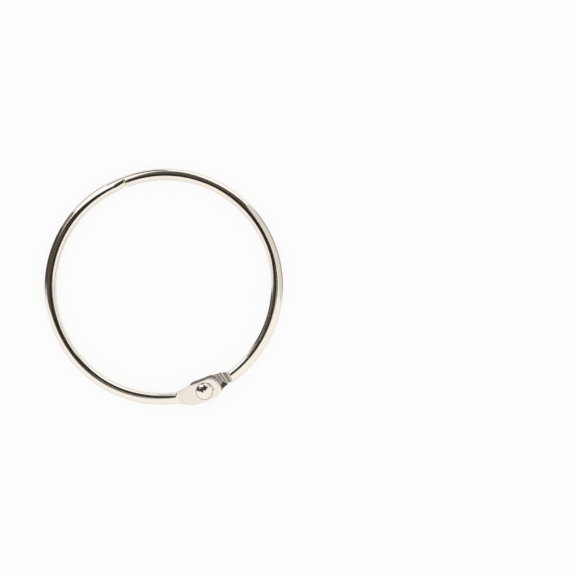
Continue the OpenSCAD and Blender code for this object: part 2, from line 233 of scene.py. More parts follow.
def section_rings(sections, floor, dent, columns):
    """Closed rings of points round sections [s, centre, half-width, top, bottom, radius of the
    upper edges, radius of the lower edges, turn].

    A side is walked by arc length: quarter round, straight, quarter round. The underside is cut
    up to floor(plan point) and the top is lowered by dent(plan point). Where two stretches of a
    ring meet, the corner point gives way to a quadratic curve between its neighbours.
    """
    s, centre, half, top, bottom, edge, lower, turn = sections.T
    top_columns, under_columns = columns
    most = (top - bottom) / 2
    edge, lower = (np.maximum(np.minimum(r, most), LEAST_EDGE) for r in (edge, lower))
    mid, straight = (top - edge + bottom + lower) / 2, top - edge - bottom - lower
    flat = np.maximum(half - edge, 0)
    quarter = np.pi / 4 * (1 + np.where(turn == 0, ease(0, FULL_QUARTER, flat), 1))
    along, out = heading(s)

    def side(sign):
        """One side, upwards: in by radius (1 - cos angle) and up to middle + radius sin angle."""
        foot = plan(s, centre + sign * half)
        normal = sign * out * np.cos(turn)[:, None] - along * np.sin(turn)[:, None]
        high = straight / 2 + edge * quarter
        low = np.maximum(-straight / 2 - lower * quarter,
                         cut_along_side(floor(foot), mid, straight, edge, lower))
        t = 0.5 - 0.5 * np.cos(np.linspace(0, np.pi, SIDE_COLUMNS))
        walk = low[:, None] + (high - low)[:, None] * t
        bend = np.sign(walk) * np.maximum(np.abs(walk) - straight[:, None] / 2, 0)
        radius = np.where(walk > 0, edge[:, None], lower[:, None])
        angle = bend / radius
        z = mid[:, None] + walk - bend + radius * np.sin(angle)
        inward = (radius * (1 - np.cos(angle)))[..., None]
        return np.concatenate([foot[:, None] - normal[:, None] * inward, z[..., None]], -1)

    def face(start, stop, count, upper):
        """A flat face from one side to the other. Past the start of an edge's rounding, of radius
        r, it falls away by r - sqrt(r^2 - past^2)."""
        width = np.linalg.norm(stop[:, :2] - start[:, :2], axis=-1)
        cut = np.minimum(CORNER_CUT / np.maximum(width, LEAST_EDGE), CORNER_SHARE)[:, None]
        t = cut + (1 - 2 * cut) * np.linspace(0, 1, count)
        xy = start[:, None, :2] * (1 - t)[..., None] + stop[:, None, :2] * t[..., None]
        n = np.linalg.norm(xy, axis=-1) - BEND_R - centre[:, None]
        radius = (edge if upper else lower)[:, None]
        past = np.where((turn == 0)[:, None], np.abs(n) - half[:, None] + radius, 0)
        past = np.clip(past, 0, radius)
        drop = radius - np.sqrt(radius**2 - past**2)
        if upper:
            z = top[:, None] - drop - dent(xy)
        else:
            z = np.maximum(bottom[:, None] + drop, floor(xy))
        return np.concatenate([xy, z[..., None]], -1)

    outer, inner = side(1), side(-1)
    ring = np.concatenate([outer, face(outer[:, -1], inner[:, -1], top_columns, True),
                           inner[:, ::-1], face(inner[:, 0], outer[:, 0], under_columns, False)], 1)
    corners = np.cumsum([0, SIDE_COLUMNS - 1, top_columns + 1, SIDE_COLUMNS - 1])
    t = np.array(CORNER_POINTS)[:, None]
    stretches = []
    for k, stop in zip(corners, [*corners[1:], ring.shape[1]]):
        before, corner, after = (ring[:, [j % ring.shape[1]]] for j in (k - 1, k, k + 1))
        stretches += [(1 - t) ** 2 * before + 2 * t * (1 - t) * corner + t * t * after,
                      ring[:, k + 1:stop]]
    return np.concatenate(stretches, 1)


def peg_rings(profile, angles):
    """Rings round the line through the seam, one for each (distance past the seam, radius)."""
    depth, radius = np.array(profile, float).T
    x = np.broadcast_to((SEAM_X + depth)[:, None], (len(depth), len(angles)))
    y, z = radius[:, None] * np.cos(angles), radius[:, None] * np.sin(angles)
    return np.stack([x, SEAM_Y + y, z], -1)


def quarter_round(x, y, dx, dy, count=5):
    """Points of a quarter round that starts at (x, y), leaves along dx and arrives along dy."""
    a = np.linspace(0, np.pi / 2, count)
    return np.column_stack([x + dx * np.sin(a), y + dy * (1 - np.cos(a))])


def grid_of_points(name, rings, closed):
    """An object with quads between rings of points in millimetres, whose ends meet if closed."""
    count, columns = rings.shape[:2]
    mesh = bpy.data.meshes.new(name)
    across = np.arange(columns if closed else columns - 1)
    i, k = np.meshgrid(np.arange(count - 1), across, indexing="ij")
    a, b = i * columns + k, i * columns + (k + 1) % columns
    quads = np.stack([a, b, b + columns, a + columns], -1).reshape(-1, 4)
    mesh.from_pydata((rings * MM).reshape(-1, 3), [], quads.tolist())
    made = bpy.data.objects.new(name, mesh)
    bpy.context.scene.collection.objects.link(made)
    return made


def closed_piece(name, rings):
    """A closed surface through rings of points. End rings without width are welded to a point."""
    piece = grid_of_points(name, rings, closed=True)
    bm = bmesh.new()
    bm.from_mesh(piece.data)
    bmesh.ops.remove_doubles(bm, verts=bm.verts, dist=WELD)
    bmesh.ops.recalc_face_normals(bm, faces=bm.faces)
    bm.to_mesh(piece.data)
    bm.free()
    return piece


def drill(piece, radius):
    """Cuts the rivet's hole through a piece with an upright cylinder at the pivot."""
    a = np.linspace(0, 2 * np.pi, DRILL_SIDES + 1)[:-1]
    circle = np.stack([radius * np.cos(a), PIVOT_Y + radius * np.sin(a)], -1)
    ends = [np.column_stack([circle, np.full(len(a), z)]) for z in (-ABOVE, ABOVE)]
    poles = [np.broadcast_to([0, PIVOT_Y, z], (len(a), 3)) for z in (-ABOVE, ABOVE)]
    cutter = closed_piece("drill", np.stack([poles[0], *ends, poles[1]]))
    cut = piece.modifiers.new("hole", "BOOLEAN")
    cut.object, cut.operation, cut.solver = cutter, "DIFFERENCE", "EXACT"
    bpy.context.view_layer.update()
    evaluated = piece.evaluated_get(bpy.context.evaluated_depsgraph_get())
    drilled = bpy.data.meshes.new_from_object(evaluated)
    piece.modifiers.clear()
    piece.data = drilled
    bpy.data.objects.remove(cutter)


def shade(piece, material):
    """Smooth shading with sharp edges left where faces meet at more than SHARP."""
    piece.data.shade_smooth()
    piece.data.set_sharp_from_angle(angle=SHARP)
    piece.data.materials.clear()
    piece.data.materials.append(material)


# ---------------------------------------------------------------- pieces
def no_dent(xy):
    """A plain top: 0 everywhere."""
    return 0


def left_half():
    """Wire pressed into the front ear, and drawn in to the rounded end that carries the pin.

    Each size of a section goes from the wire's to the ear's by ease. The taper takes
    drop / 2 * (1 - distance from the end / its length)^power off the radius, all on the inner
    side, and the end is rounded by a quarter of a circle."""

    def floor(xy):
        """The underside is cut up to the lapped face inside the rear ear's sweep."""
        inside = 1 - ease(REAR_SWEEP + END_GAP, REAR_SWEEP + END_GAP + WALL_RUN, from_pivot(xy))
        return BELOW + (LAP_Z - BELOW) * inside

    def tool_mark(xy):
        """An arc of a shallow round groove about the rivet, to its right."""
        rise = TOOL_MARK_DEPTH - TOOL_MARK_EDGE
        away = np.abs(from_pivot(xy) - TOOL_MARK_R)
        depth = np.sqrt(np.maximum(TOOL_MARK_EDGE**2 - away**2, 0)) + rise
        bearing = np.arctan2((xy - PIVOT)[..., 1], -(xy - PIVOT)[..., 0])
        off = np.abs(bearing - TOOL_MARK_TURN)
        fade = ease(TOOL_MARK_HALF_ARC, TOOL_MARK_HALF_ARC - TOOL_MARK_FADE, off)
        return np.maximum(depth, 0) * fade

    taper_from = LEFT_SEAM_S - TAPER_LEN
    wall_from, wall_to, round_from = 3.0, REAR_SWEEP + 0.3, LEFT_PRESS_FROM + 0.4
    s = places((FRONT_BLUNT - FRONT_REACH, LEFT_WIDEN_TO, 0.75 * EAR_STEP),
               (LEFT_WIDEN_TO, wall_from, EAR_STEP), (wall_from, wall_to, WALL_STEP),
               (wall_to, round_from, EAR_STEP), (round_from, taper_from, WIRE_STEP),
               (taper_from, LEFT_SEAM_S - END_ROUND, TAPER_STEP))
    pressed = ease(LEFT_PRESS_FROM, LEFT_FLAT_FROM, s)
    u = LEFT_SEAM_S - s
    drawn = TAPER_DROP / 2 * np.maximum(0, 1 - u / TAPER_LEN) ** TAPER_POWER
    w = WIRE_R - drawn + (FRONT_W / 2 - WIRE_R) * ease(LEFT_WIDEN_FROM, LEFT_WIDEN_TO, s)
    e = WIRE_R - drawn + (FRONT_EDGE - WIRE_R) * pressed
    top = WIRE_R - drawn + (FRONT_FACE_Z - WIRE_R) * pressed
    bottom = np.where(drawn > 0, drawn - WIRE_R, top - pressed_t(w, e))
    centre = drawn + PIVOT_OUT * ease(LEFT_WIDEN_FROM, LEFT_WIDEN_TO, s)
    body = np.stack([s, centre, w, top, bottom, e, e, 0 * s], -1)
    a = np.linspace(0, np.pi / 2, 10)
    u = END_ROUND * (1 - np.sin(a))
    drawn = TAPER_DROP / 2 * (1 - u / TAPER_LEN) ** TAPER_POWER
    r = WIRE_R - drawn - END_ROUND * (1 - np.cos(a))
    end = np.stack([LEFT_SEAM_S - u, drawn, r, r, -r, r, r, 0 * a], -1)
    ear = blunt_end(FRONT_W / 2, FRONT_REACH, FRONT_BLUNT, FRONT_EDGE, FRONT_END_EDGE, 0,
                    FRONT_FACE_Z, FRONT_T, FRONT_SECTIONS)
    rings = section_rings(np.concatenate([ear[:-1], body, end]), floor, tool_mark, LEFT_COLUMNS)
    rings[..., 0] = -rings[..., 0] - HALF_SPREAD
    rim = rings[-1] - [SEAM_X, SEAM_Y, 0]
    angles = np.arctan2(rim[:, 2], rim[:, 1] - drawn[-1])
    root, cone_foot, tip_r, b = -SEAM_GAP / 2, PIN_LEN - PIN_CONE, PIN_R - PIN_CONE, PIN_BREAK
    pin = np.concatenate([
        [(root, PIN_R + 1.2 * b)], quarter_round(root + 0.2 * b, PIN_R + b, b, -b),
        [(cone_foot - b, PIN_R), (cone_foot, PIN_R - 0.3 * b), (PIN_LEN - 0.8 * b, tip_r + 0.6 * b),
         (PIN_LEN, tip_r - b), (PIN_LEN, 0)]])
    piece = closed_piece("left_half_wire", np.concatenate([rings, peg_rings(pin, angles)]))
    drill(piece, HOLE_R)
    return piece


def shoulder_height(xy):
    """Height of the shoulder's steps over the lapped face: the lower of two profiles along the
    wire, one with the treads, risers and facets, one with the neck. In the dimple it falls to a
    floor that rises by distance * tan(slope). It is 0 inside the front ear's sweep."""
    along, out = heading(BLOCK_FROM)
    x = (xy - plan(BLOCK_FROM, 0)) @ along
    mid, neck = MIDDLE_STEP - BLOCK_FROM, NECK_TO - BLOCK_FROM
    neck_top = NECK_FOOT + neck * np.tan(RAMP_SLOPE)
    lip = LIP_W * np.tan(LIP_SLOPE)
    high_end = HIGH_TREAD - (LIP_W + RISER_RUN + mid) * np.tan(TREAD_SLOPE)
    far = -9  # past the end of the ear
    low_start = LOW_TREAD - (mid - LIP_W - far) * np.tan(TREAD_SLOPE)
    lower = [(far, low_start), (mid - LIP_W, LOW_TREAD), (mid, LOW_TREAD + lip),
             (mid + RISER_RUN, HIGH_TREAD), (mid + 2 * RISER_RUN, ABOVE)]
    upper = [(far, HIGH_TREAD), (mid + RISER_RUN, HIGH_TREAD), (-LIP_W, high_end),
             (0, high_end + lip), (NECK_RISER_RUN, NECK_FOOT), (neck, neck_top),
             (neck + CROWN_RUN, neck_top), (neck + 3 * CROWN_RUN, WIRE_R + LAP_Z + CROWN_OVER),
             (neck + 4 * CROWN_RUN, ABOVE)]

    def softened(profile):
        """The profile averaged over a few hundredths of a millimetre, which rounds its corners."""
        px, pz = np.array(profile, float).T
        shifts = np.linspace(-SOFTENING, SOFTENING, 7)
        return sum(np.interp(x + d, px, pz) for d in shifts) / len(shifts)

    def edge_at(s):
        """Distance of the block's outer edge from the wire's centre line."""
        return right_half_width(s) - REAR_SHIFT + PIVOT_OUT * ease(BLOCK_FROM, RIGHT_WIDEN_TO, s)

    def outside(p, q):
        """Distance of the points outside the line from p to q, away from the ring's centre."""
        run = (q - p) / np.linalg.norm(q - p)
        return (xy - p) @ np.array([run[1], -run[0]])

    height = np.minimum(softened(upper), softened(lower))
    from_s, to_s = MIDDLE_STEP - DIMPLE_W, BLOCK_FROM - RISER_RUN
    corners = [plan(from_s, edge_at(from_s) - DIMPLE_W),
               plan(to_s - DIMPLE_W / 2, edge_at(to_s) - DIMPLE_W),
               plan(to_s, edge_at(to_s) - DIMPLE_RIM), plan(from_s, edge_at(from_s) - DIMPLE_RIM)]
    inside = np.min([outside(corners[k], corners[(k + 1) % 4]) for k in range(4)], 0)
    bottom = np.maximum(outside(corners[0], corners[1]), 0) * np.tan(DIMPLE_SLOPE)
    height = bottom + (height - bottom) * ease(DIMPLE_DRAFT, 0, inside)
    away = from_pivot(xy)
    height = np.where(away < 2 * RIGHT_PRESS_FROM, height, ABOVE)
    return height * ease(FRONT_SWEEP + END_GAP, FRONT_SWEEP + END_GAP + WALL_RUN, away)


def right_half_width(s):
    """Half-width of the right half: wire, then the block's lip, then widening to the ear."""
    lip = ease(BLOCK_FROM + LIP_RUN / 2, BLOCK_FROM - LIP_RUN / 2, s)
    ear = ease(BLOCK_FROM - LIP_RUN / 2, RIGHT_WIDEN_TO, s)
    return WIRE_R + BLOCK_LIP * lip + (REAR_W / 2 - WIRE_R - BLOCK_LIP) * ear


def right_half():
    """Wire with the socket in its end, pressed behind a stepped shoulder into the rear ear.

    Each size of a section goes from the wire's to the block's and the ear's by ease. It is drawn
    face down, as it lay in the press, and turned over at the end."""

    def floor(xy):
        """The lapped face, the shoulder's steps below it, and the ear's flank sloping above it."""
        down = np.array([np.sin(FLANK_TURN), np.cos(FLANK_TURN)])
        flank = np.maximum((xy - PIVOT) @ down - FLANK_IN, 0) * np.tan(FLANK_SLOPE)
        inside = 1 - ease(FRONT_SWEEP + END_GAP, FRONT_SWEEP + END_GAP + WALL_RUN, from_pivot(xy))
        return LAP_Z - shoulder_height(xy) + flank * inside

    shoulder_from, round_from = 3.0, RIGHT_PRESS_FROM + 0.2
    s = places((REAR_BLUNT - REAR_REACH, shoulder_from, TAPER_STEP),
               (shoulder_from, round_from, SHOULDER_STEP),
               (round_from, RIGHT_SEAM_S - END_BREAK, WIRE_STEP))
    pressed = ease(RIGHT_PRESS_FROM, BLOCK_FROM, s)
    w = right_half_width(s)
    e = WIRE_R + (REAR_EDGE - WIRE_R) * pressed
    lower = WIRE_R + (REAR_LAP_EDGE - WIRE_R) * pressed
    face = WIRE_R + (REAR_FACE_Z - WIRE_R) * pressed
    lapped = LAP_Z - (WIRE_R + LAP_Z) * ease(SHOULDER_FOOT, SHOULDER_TOP, s)
    centre = PIVOT_OUT * ease(BLOCK_FROM, RIGHT_WIDEN_TO, s) - REAR_SHIFT * pressed
    body = np.stack([s, centre, w, face, lapped, e, lower, 0 * s], -1)
    a = np.linspace(0, np.pi / 2, 6)
    r = WIRE_R - END_BREAK * (1 - np.cos(a))
    end = np.stack([RIGHT_SEAM_S - END_BREAK * (1 - np.sin(a)), 0 * a, r, r, -r, r, r, 0 * a], -1)
    ear = blunt_end(REAR_W / 2, REAR_REACH, REAR_BLUNT, REAR_EDGE, REAR_EDGE, REAR_SHIFT,
                    REAR_FACE_Z, REAR_T, REAR_SECTIONS, REAR_LAP_EDGE)
    rings = section_rings(np.concatenate([ear[:-1], body, end]), floor, no_dent, RIGHT_COLUMNS)
    rings[..., 0] += HALF_SPREAD
    rings[..., 2] *= -1
    rim = rings[-1] - [SEAM_X, SEAM_Y, 0]
    angles = np.arctan2(rim[:, 2], rim[:, 1])
    mouth, bore, b = SEAM_GAP / 2, PIN_R + PIN_CLEARANCE, 0.8 * PIN_BREAK
    deep = PIN_LEN + PIN_CLEARANCE
    socket = np.concatenate([
        [(mouth, bore + PIN_BREAK)], quarter_round(mouth, bore + b, b, -b),
        [(deep, bore), (deep + PIN_R, PIN_CLEARANCE), (deep + PIN_R, 0)]])
    piece = closed_piece("right_half_wire", np.concatenate([rings, peg_rings(socket, angles)]))
    drill(piece, HOLE_R)
    return piece


def rivet():
    """The rivet turned about its axis: high dome, shank and low dome, each dome part of a ball."""

    def dome(radius, height, foot):
        """(radius, height) from the shank outwards and up: a rim, then a cap of a ball whose
        radius is (radius^2 + cap^2) / (2 cap)."""
        cap = height - HEAD_RIM
        ball = (radius**2 + cap**2) / (2 * cap)
        a = np.linspace(np.arcsin(radius / ball), 0, DOME_RINGS)
        skirt = [(SHANK_R, foot), (radius - RIM_BREAK, foot), (radius, foot + RIM_BREAK)]
        crown = np.column_stack([ball * np.sin(a), foot + height - ball * (1 - np.cos(a))])
        return np.concatenate([skirt, crown])

    tail = dome(TAIL_R, TAIL_H, REAR_FACE_Z + TAIL_PLAY)[::-1] * [1, -1]
    r, z = np.concatenate([tail, dome(HEAD_R, HEAD_H, FRONT_FACE_Z)]).T
    a = np.linspace(0, 2 * np.pi, RIVET_SIDES + 1)[:-1]
    x, y = r[:, None] * np.cos(a), PIVOT_Y + r[:, None] * np.sin(a)
    return closed_piece("domed_rivet", np.stack([x, y, np.broadcast_to(z[:, None], x.shape)], -1))


# ---------------------------------------------------------------- materials
def linear(colour):
    """sRGB hex to linear red, green, blue, alpha."""
    c = np.array([int(colour[k:k + 2], 16) / 255 for k in (1, 3, 5)])
    c = np.where(c <= 0.04045, c / 12.92, ((c + 0.055) / 1.055) ** 2.4)
    return (*c, 1.0)


def node(tree, kind, links=(), **settings):
    """Adds a node. Settings name its properties. Links are (input, value), and the value is a
    number, a colour, an output socket, or a node, which stands for its first output."""
    made = tree.nodes.new(kind)
    for key, value in settings.items():
        setattr(made, key, value)
    for name, value in links:
        if isinstance(value, bpy.types.Node):
            value = value.outputs[0]
        if isinstance(value, bpy.types.NodeSocket):
            tree.links.new(value, made.inputs[name])
        else:
            made.inputs[name].default_value = value
    return made


def new_material(name):
    """An empty material and its node tree."""
    material = bpy.data.materials.new(name)
    material.use_nodes = True
    material.node_tree.nodes.clear()
    return material, material.node_tree


def nickel_shader(tree, place, painted_shade, rough, normal):
    """Bright nickel: a metal's mirror, whitish and a little warm, and greyer where shade is painted
    in.

    The plating isn't quite even, so patches about 3 mm across are a shade warmer. The pieces are
    plated loose in a barrel and rub on each other, which leaves a few fine straight scratches:
    cells drawn out along three directions, of which only a few, by their colour, count."""
    patches = node(tree, "ShaderNodeTexNoise", [("Vector", place), ("Scale", 1 / (PATCH * MM)),
                                                ("Detail", 3)])
    plated = node(tree, "ShaderNodeMix", [(0, patches), (6, linear(NICKEL)),
                                          (7, linear(WARM_NICKEL))], data_type="RGBA")
    colour = node(tree, "ShaderNodeMix", [(0, painted_shade), (6, plated.outputs[2]),
                                          (7, linear(PAINTED_SHADE_NICKEL))], data_type="RGBA")
    cell = (SCRATCH_LEN * MM, SCRATCH_W * MM, SCRATCH_LEN * MM)
    for turn in SCRATCH_TURNS:
        drawn_out = node(tree, "ShaderNodeMapping", [("Vector", place), ("Rotation", (0, 0, turn)),
                                                     ("Scale", cell)], vector_type="TEXTURE")
        cells = node(tree, "ShaderNodeTexVoronoi", [("Vector", drawn_out), ("Scale", 1)])
        line = node(tree, "ShaderNodeMapRange",
                    [("Value", cells), ("From Min", SCRATCH_CORE[0]), ("From Max", SCRATCH_CORE[1]),
                     ("To Min", SCRATCH_ROUGHER), ("To Max", 0)])
        few = node(tree, "ShaderNodeMapRange",
                   [("Value", cells.outputs["Color"]), ("From Min", SCRATCHED_CELLS[0]),
                    ("From Max", SCRATCHED_CELLS[1])])
        rough = node(tree, "ShaderNodeMath", [(0, line), (1, few), (2, rough)],
                     operation="MULTIPLY_ADD")
    shader = node(tree, "ShaderNodeBsdfPrincipled",
                  [("Base Color", colour.outputs[2]), ("Metallic", 1), ("Roughness", rough),
                   ("Normal", normal)])
    node(tree, "ShaderNodeOutputMaterial", [("Surface", shader)])


def distance_from_pivot(tree, place):
    """Distance of a point in the material from the rivet's axis."""
    away = node(tree, "ShaderNodeVectorMath", [(0, place), (1, (0, PIVOT_Y * MM, 0))],
                operation="SUBTRACT")
    flat = node(tree, "ShaderNodeVectorMath", [(0, away), (1, (1, 1, 0))], operation="MULTIPLY")
    return node(tree, "ShaderNodeVectorMath", [(0, flat)], operation="LENGTH").outputs["Value"]


def crevice_painted_shade(tree, away):
    """Painted shade in the crevice round the rivet's head: a thin grey line."""
    beyond = node(tree, "ShaderNodeMath", [(0, away), (1, HEAD_R * MM)], operation="SUBTRACT")
    off = node(tree, "ShaderNodeMath", [(0, beyond)], operation="ABSOLUTE")
    return node(tree, "ShaderNodeMapRange", [("Value", off), ("From Max", CREVICE * MM),
                                             ("To Min", CREVICE_PAINTED_SHADE), ("To Max", 0)])


def nickel_on_wire():
    """Nickel plate on drawn steel wire, pressed flat at the hinge.

    The wire keeps the die's lines along its length: noise on (distance from the ring's axis,
    height, length along the wire), stretched along the wire. The press rubs them out and leaves
    its own faint grain, so that the flat faces are a touch duller than the wire. The lapped faces
    and the flank beside them lie low, where barrel polishing doesn't reach, so they are duller
    still. Shade is painted on them and on the shoulder's treads and risers, which greys them."""
    material, tree = new_material("bright_nickel_on_drawn_wire")
    place = node(tree, "ShaderNodeTexCoord").outputs["Object"]
    x, y, z = node(tree, "ShaderNodeSeparateXYZ", [("Vector", place)]).outputs
    away = distance_from_pivot(tree, place)

    mirrored = node(tree, "ShaderNodeMath", [(0, x)], operation="ABSOLUTE")
    side = node(tree, "ShaderNodeMath", [(0, mirrored), (1, HALF_SPREAD * MM)],
                operation="SUBTRACT")
    flat = node(tree, "ShaderNodeCombineXYZ", [("X", side), ("Y", y)])
    out = node(tree, "ShaderNodeVectorMath", [(0, flat)], operation="LENGTH").outputs["Value"]
    turn = node(tree, "ShaderNodeMath", [(0, y), (1, side)], operation="ARCTAN2")
    along = node(tree, "ShaderNodeMath",
                 [(0, turn), (1, BEND_R * MM * DIE_LINE / DIE_LINE_LEN)], operation="MULTIPLY")
    unrolled = node(tree, "ShaderNodeCombineXYZ", [("X", out), ("Y", z), ("Z", along)])
    round_wire = node(tree, "ShaderNodeMapRange",
                      [("Value", away), ("From Min", ROUND_WIRE_AWAY[0] * MM),
                       ("From Max", ROUND_WIRE_AWAY[1] * MM)], interpolation_type="SMOOTHSTEP")
    lines = node(tree, "ShaderNodeTexNoise", [("Vector", unrolled), ("Detail", 2),
                                              ("Scale", 1 / (DIE_LINE * MM))])
    drawn = node(tree, "ShaderNodeBump", [("Strength", round_wire), ("Height", lines),
                                          ("Distance", DIE_LINE_DEPTH * MM)])
    grain = node(tree, "ShaderNodeTexNoise", [("Vector", place), ("Detail", 3),
                                              ("Scale", 1 / (PRESS_GRAIN * MM))])
    pressed = node(tree, "ShaderNodeMath", [(0, 1), (1, round_wire)], operation="SUBTRACT")
    normal = node(tree, "ShaderNodeBump", [("Strength", pressed), ("Height", grain),
                                           ("Distance", PRESS_GRAIN_DEPTH * MM),
                                           ("Normal", drawn)])

    near, low, block, sunk, right = (
        node(tree, "ShaderNodeMapRange", [("Value", value), ("From Min", start * MM),
                                          ("From Max", stop * MM)])
        for value, (start, stop) in ((away, LAPPED_AWAY), (z, LAPPED_HEIGHT),
                                     (away, SHOULDER_AWAY), (z, SHOULDER_HEIGHT),
                                     (x, SHOULDER_SIDE)))
    lapped = node(tree, "ShaderNodeMath", [(0, near), (1, low)], operation="MULTIPLY")
    shoulder = node(tree, "ShaderNodeMath", [(0, block), (1, sunk)], operation="MULTIPLY")
    shoulder = node(tree, "ShaderNodeMath", [(0, shoulder), (1, right)], operation="MULTIPLY")
    # Painted shade: the lapped faces, the flank beside them and the shoulder's steps are greyed,
    # and so is the crevice round the rivet's head.
    grey = node(tree, "ShaderNodeMath", [(0, lapped), (1, shoulder)], operation="MAXIMUM")
    painted_shade = node(tree, "ShaderNodeMath",
                   [(0, grey), (1, LOW_PAINTED_SHADE), (2, crevice_painted_shade(tree, away))],
                   operation="MULTIPLY_ADD", use_clamp=True)
    plain = node(tree, "ShaderNodeMapRange", [("Value", round_wire), ("To Min", PRESSED_ROUGH),
                                              ("To Max", WIRE_ROUGH)])
    rough = node(tree, "ShaderNodeMath", [(0, lapped), (1, LAPPED_ROUGHER), (2, plain)],
                 operation="MULTIPLY_ADD")
    nickel_shader(tree, place, painted_shade, rough, normal)
    return material


def nickel_on_rivet():
    """Nickel plate on a steel rivet headed by a turning tool, which burnished the domes and left
    faint rings about the axis: noise on the distance from it."""
    material, tree = new_material("bright_nickel_on_burnished_rivet")
    place = node(tree, "ShaderNodeTexCoord").outputs["Object"]
    away = distance_from_pivot(tree, place)
    rings = node(tree, "ShaderNodeTexNoise", [("W", away), ("Scale", 1 / (TOOL_RING * MM))],
                 noise_dimensions="1D")
    normal = node(tree, "ShaderNodeBump", [("Strength", 1), ("Height", rings),
                                           ("Distance", TOOL_RING_DEPTH * MM)])
    rough = node(tree, "ShaderNodeMapRange", [("Value", rings), ("To Min", RIVET_ROUGH[0]),
                                              ("To Max", RIVET_ROUGH[1])])
    # Painted shade in the crevice round the head greys the rivet's rim.
    nickel_shader(tree, place, crevice_painted_shade(tree, away), rough, normal)
    return material


# ---------------------------------------------------------------- making
on_wire, on_rivet = nickel_on_wire(), nickel_on_rivet()
for make, metal, body, cad_node, slot in (
        (left_half, on_wire, "left_side", "left_half", "nickel_plated_steel"),
        (right_half, on_wire, "right_side", "right_half", "nickel_plated_steel"),
        (rivet, on_rivet, "left_side", "rivet", "nickel_plated_rivet")):
    piece = make()
    shade(piece, metal)
    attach(piece, body)
    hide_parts(cad_node)


# ---------------------------------------------------------------- studio
# The view is square and looks straight down. The ring's centre is at this pixel of it, a pixel is
# this many millimetres at the ring, and the ring is turned in it.
VIEW_PIXELS, PIXEL_MM = 576, 0.2367
RING_PIXEL = (163.8, 286.6)
VIEW_TURN = np.radians(21.28)
LENS, SENSOR = 150, 36


def in_view(x, y):
    """Plan place of a point given in the view's directions, x right and y up."""
    c, s = np.cos(VIEW_TURN), np.sin(VIEW_TURN)
    return np.stack([x * c + y * s, -x * s + y * c], -1)


def camera():
    """Camera over the middle of the view, at the height from which its width fills the sensor."""
    middle = VIEW_PIXELS / 2
    centre = in_view((middle - RING_PIXEL[0]) * PIXEL_MM, (RING_PIXEL[1] - middle) * PIXEL_MM)
    data = bpy.data.cameras.new("camera")
    data.lens, data.sensor_width = LENS, SENSOR
    data.clip_start, data.clip_end = 0.01, 10
    cam = bpy.data.objects.new("camera", data)
    cam.location = (*(centre * MM), VIEW_PIXELS * PIXEL_MM * MM * LENS / SENSOR)
    cam.rotation_euler = (0, 0, -VIEW_TURN)
    bpy.context.scene.collection.objects.link(cam)
    bpy.context.scene.camera = cam


def stage_piece(name, rings, material, hidden=True):
    """A grid of points in millimetres as part of the studio. Hidden, it shows only in metal."""
    thing = grid_of_points(name, rings, closed=False)
    thing.data.materials.append(material)
    if hidden:
        thing.visible_camera = thing.visible_diffuse = thing.visible_shadow = False
        thing.visible_transmission = False
    return thing


def glowing_card(name, rings, colour, cover=1.0, strength=1.0):
    """A grid of points that glows for metal alone, and is clear where its cover falls to 0."""
    material, tree = new_material(name)
    clear = node(tree, "ShaderNodeBsdfTransparent")
    glow = node(tree, "ShaderNodeEmission", [("Color", linear(colour)), ("Strength", strength)])
    amount = node(tree, "ShaderNodeAttribute", attribute_name="cover")
    mix = node(tree, "ShaderNodeMixShader", [(0, amount.outputs["Fac"]), (1, clear), (2, glow)])
    node(tree, "ShaderNodeOutputMaterial", [("Surface", mix)])
    layer = stage_piece(name, rings, material).data.attributes.new("cover", "FLOAT", "POINT")
    cover = np.broadcast_to(cover, rings.shape[:2])
    layer.data.foreach_set("value", np.ascontiguousarray(cover, np.float32).ravel())


def card(name, outline, height, centre, colour, soft=3):
    """A flat card over the ring, parallel to the paper. Its outline is (bearing in the view,
    angle from straight up, seen from the paper under its centre), in degrees. It turns clear over
    the soft degrees each side of that. Its radius at each bearing is height * tan(angle)."""
    bearing, angle = np.radians(np.array(outline, float)).T
    a = np.linspace(0, 2 * np.pi, 361)
    edge = np.interp(a, bearing, angle, period=2 * np.pi)
    past = np.concatenate([np.linspace(-1, 0, 12)[:-1], np.linspace(0, 1, 9)])[:, None]
    zenith = np.where(past < 0, (1 + past) * (edge - np.radians(soft)),
                      edge + (2 * past - 1) * np.radians(soft))
    radius = height * np.tan(np.clip(zenith, 0, CARD_LIMIT))
    spot = in_view(*centre)
    rings = np.stack([spot[0] + radius * np.cos(a - VIEW_TURN),
                      spot[1] + radius * np.sin(a - VIEW_TURN),
                      np.full_like(radius, height)], -1)
    glowing_card(name, rings, colour, 1 - ease(0, 1, past))


# Two dark cards over the ring make the dark bands along the wire and the dark spot on the dome.
NEAR_CARD = [(0, 38), (15, 39), (22, 29), (38, 19), (52, 17), (68, 21), (82, 22), (120, 12),
             (128, 15), (153, 56), (158, 58), (172, 17), (184, 20), (218, 39), (240, 33), (255, 33),
             (262, 16), (270, 26), (278, 20), (285, 22), (292, 31), (300, 25), (315, 28), (326, 20),
             (330, 22), (338, 42)]
FAR_CARD = [(0, 28), (15, 24), (22, 28), (38, 61), (45, 60), (52, 52), (60, 50), (68, 54), (82, 67),
            (93, 64), (98, 54), (105, 32), (112, 24), (120, 10), (128, 8), (150, 42), (158, 62),
            (172, 68), (188, 70), (191, 66), (202, 46), (210, 38), (225, 32), (248, 33), (262, 27),
            (270, 24), (277, 15), (284, 8), (292, 8), (308, 9), (338, 25)]
CARD_LIMIT = np.radians(88)
FLOOR_Z = min(cad_box[0][2], cad_box[1][2]) / MM
FLOOR_HALF = 2000.0

# The paper's own glow and the grey that the world lights, to the eye and as metal shows them
PAPER_GLOW, PAPER_GLOW_IN_METAL = 0.855, 0.45
PAPER_GREY, PAPER_GREY_IN_METAL = 0.13, 0.5


